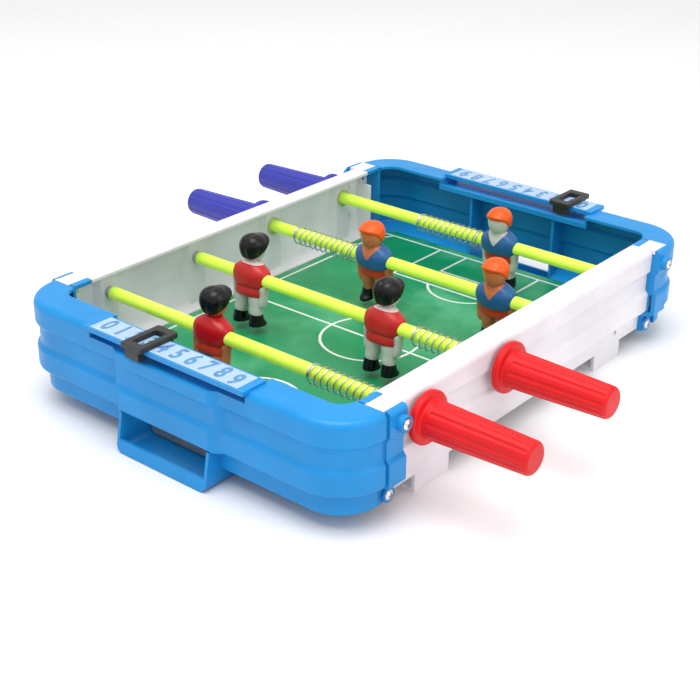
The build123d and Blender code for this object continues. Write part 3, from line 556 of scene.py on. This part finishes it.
def player(name, suffix, y, facing, palette, hair_kind, head_top):
    """One painted player, with its rod through the shoulders."""
    shirt, shorts, body, hair, boots, collar = palette
    materials = [shirt, shorts, body, hair, boots, collar or body]
    parts = []
    torso = loft(
        [
            (-5.4, 0, 0, 5.0, 9.0),
            (-4.9, 0, 0, 6.5, 11.2),
            (-3.3, 0.1, 0, 7.3, 12.3),
            (-0.8, 0.2, 0, 7.6, 12.9),
            (2.0, 0.1, 0, 7.6, 13.0),
            (4.8, 0.0, 0, 7.0, 12.2),
            (7.2, -0.1, 0, 5.9, 9.6),
            (9.0, 0.1, 0, 4.9, 6.6),
            (10.2, 0.3, 0, 4.1, 4.7),
            (10.5, 0.3, 0, 3.2, 3.4),
        ],
        144,
        16,
        2.35,
    )
    points, faces = torso
    middle = np.array([points[list(f)].mean(axis=0) for f in faces])
    index = np.zeros(len(faces), int)
    if collar is not None:
        if hair_kind == "quiff":
            index[middle[:, 2] > 8.6] = 5
        v_neck = (middle[:, 0] > 0) & (middle[:, 2] > 1.4 + 1.25 * np.abs(middle[:, 1]))
        index[v_neck] = 2
    parts.append((points, faces, index))
    neck = [(7.5, 0.3, 0, 3.9, 4.0), (10.5, 0.4, 0, 3.4, 3.5), (12.0, 0.4, 0, 3.6, 3.7)]
    parts.append((*loft(neck), 2))
    # arms, close to the sides, with hands on the hips
    for s in (-1, 1):
        parts.append(
            (
                *loft(
                    [
                        (-17.4, 0.6, s * 9.6, 1.2, 1.2),
                        (-16.8, 0.6, s * 9.7, 2.6, 2.2),
                        (-14.0, 0.5, s * 10.2, 3.1, 2.5),
                        (-9.5, 0.2, s * 10.6, 2.9, 2.4),
                        (-5.5, 0.0, s * 10.6, 3.5, 2.4),
                        (-3.0, 0.0, s * 10.2, 3.2, 2.2),
                    ],
                    26,
                    5,
                ),
                2,
            )
        )
    # shorts
    parts.append(
        (
            *loft(
                [
                    (-11.4, 0, 0, 3.9, 8.0),
                    (-11.0, 0, 0, 5.7, 9.6),
                    (-9.6, -0.1, 0, 6.4, 10.3),
                    (-7.4, -0.2, 0, 6.3, 10.3),
                    (-4.4, 0, 0, 5.8, 9.8),
                ],
                48,
                6,
                2.5,
            ),
            1,
        )
    )
    # legs and boots
    for s in (-1, 1):
        parts.append(
            (
                *loft(
                    [
                        (-27.0, 0.0, s * 6.4, 3.0, 2.9),
                        (-24.2, -0.2, s * 6.3, 3.5, 3.4),
                        (-20.8, -0.3, s * 6.0, 4.1, 3.9),
                        (-17.0, 0.1, s * 5.6, 4.6, 4.3),
                        (-13.0, 0.1, s * 5.1, 5.1, 4.7),
                        (-9.5, 0.1, s * 4.7, 5.1, 4.7),
                    ],
                    32,
                    6,
                ),
                2,
            )
        )
        parts.append(
            (
                *loft(
                    [
                        (-29.7, 1.4, s * 6.5, 5.1, 3.0),
                        (-29.2, 1.5, s * 6.5, 6.3, 3.9),
                        (-27.6, 1.3, s * 6.5, 6.2, 4.1),
                        (-25.8, 0.4, s * 6.5, 5.0, 4.0),
                        (-23.3, -0.1, s * 6.4, 4.2, 3.9),
                        (-22.0, -0.2, s * 6.3, 4.0, 3.8),
                    ],
                    32,
                    6,
                    2.3,
                ),
                4,
            )
        )
    lift = head_top - ROD_Z - HEAD_ROOM
    skull, crown = head_shapes(hair_kind, lift)
    parts.append((*skull, 2))
    parts.append((*crown, 3))
    points, faces, indices = [], [], []
    for part_points, part_faces, index in parts:
        base = len(points)
        points += [(p[0], p[1], p[2]) for p in part_points]
        faces += [tuple(base + i for i in f) for f in part_faces]
        indices += list(index) if isinstance(index, np.ndarray) else [index] * len(part_faces)
    x = ROD_X[name]
    level, rise = math.cos(LEAN), math.sin(LEAN)
    placed = [
        (x + facing * (level * px + rise * pz), y + facing * py, ROD_Z + level * pz - rise * px)
        for px, py, pz in points
    ]
    made = new_object(f"{name}{suffix}_player", placed, faces, materials, [int(i) for i in indices])
    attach(made, f"{name}_rod")
    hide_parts(f"{name}{suffix}_figure")


RED_KEEPER = (SHIRT_RED, SHORTS, SKIN, HAIR_BLACK, HAIR_BLACK, None)
RED_STRIKER = (SHIRT_ROSE, SHIRT_ROSE, PALE, HAIR_BLACK, HAIR_BLACK, COLLAR)
BLUE_STRIKER = (SHIRT_BLUE, SHORTS, SKIN, HAIR_ORANGE, HAIR_BLACK, COLLAR)
BLUE_KEEPER = (SHIRT_BLUE, SHORTS, PALE, HAIR_ORANGE, HAIR_BLACK, PALE)
STYLES = {
    "red_keeper": (1, RED_KEEPER, "quiff", RED_HEAD_TOP),
    "red_striker": (1, RED_STRIKER, "quiff", RED_HEAD_TOP),
    "blue_striker": (-1, BLUE_STRIKER, "cap", BLUE_HEAD_TOP),
    "blue_keeper": (-1, BLUE_KEEPER, "cap", BLUE_HEAD_TOP),
}
for name, places in FIGURE_Y.items():
    for suffix, y in places.items():
        player(name, suffix, y, *STYLES[name])

# ---- studio: floor, lights and camera ----
floor_mesh = bpy.data.meshes.new("floor")
FLOOR = 30.0  # half the floor's width, in metres
corners = [(-FLOOR, -FLOOR, 0), (FLOOR, -FLOOR, 0), (FLOOR, FLOOR, 0), (-FLOOR, FLOOR, 0)]
floor_mesh.from_pydata(corners, [], [(0, 1, 2, 3)])
floor = bpy.data.objects.new("floor", floor_mesh)
scene.collection.objects.link(floor)
floor_material, tree, shader, coordinates = start_material("floor")
paper = noise(tree, coordinates, 40.0)
tree.links.new(
    blend_colors(tree, paper, (0.86, 0.86, 0.87), (0.89, 0.89, 0.89)), shader.inputs["Base Color"]
)
shader.inputs["Roughness"].default_value = 0.7
floor_mesh.materials.append(floor_material)

world = bpy.data.worlds.new("studio")
scene.world = world
world.use_nodes = True
background = world.node_tree.nodes["Background"]
background.inputs["Color"].default_value = (1.0, 1.0, 1.0, 1.0)
background.inputs["Strength"].default_value = 0.78


def area_light(name, place, target, size, power):
    """A soft square light that faces target."""
    data = bpy.data.lights.new(name, "AREA")
    data.size = size
    data.energy = power
    made = bpy.data.objects.new(name, data)
    scene.collection.objects.link(made)
    made.location = place
    made.rotation_euler = (Vector(target) - Vector(place)).to_track_quat("-Z", "Y").to_euler()


area_light("key", (-0.3, -0.1, 1.3), (0, 0, 0), 1.1, 15.0)
area_light("fill", (0.1, -1.3, 0.8), (0, 0.1, 0.05), 0.9, 3.5)

# the camera: its distance, lens and angles round the table
AZIMUTH, ELEVATION, ROLL = math.radians(-50.49), math.radians(26.32), math.radians(0.49)
DISTANCE = 0.73769
LENS = 69.67
TARGET = Vector((-0.06049, -0.03454, 0.03978))
back = Vector(
    (
        math.sin(AZIMUTH) * math.cos(ELEVATION),
        -math.cos(AZIMUTH) * math.cos(ELEVATION),
        math.sin(ELEVATION),
    )
)
level = Vector((math.cos(AZIMUTH), math.sin(AZIMUTH), 0))
upright = back.cross(level)
right = math.cos(ROLL) * level + math.sin(ROLL) * upright
up = -math.sin(ROLL) * level + math.cos(ROLL) * upright
camera_data = bpy.data.cameras.new("camera")
camera_data.lens = LENS
camera_data.sensor_width = 36.0
camera = bpy.data.objects.new("camera", camera_data)
scene.collection.objects.link(camera)
camera.matrix_world = Matrix.Translation(TARGET + back * DISTANCE) @ Matrix(
    (right, up, back)
).transposed().to_4x4()
scene.camera = camera
scene.view_settings.view_transform = "Standard"
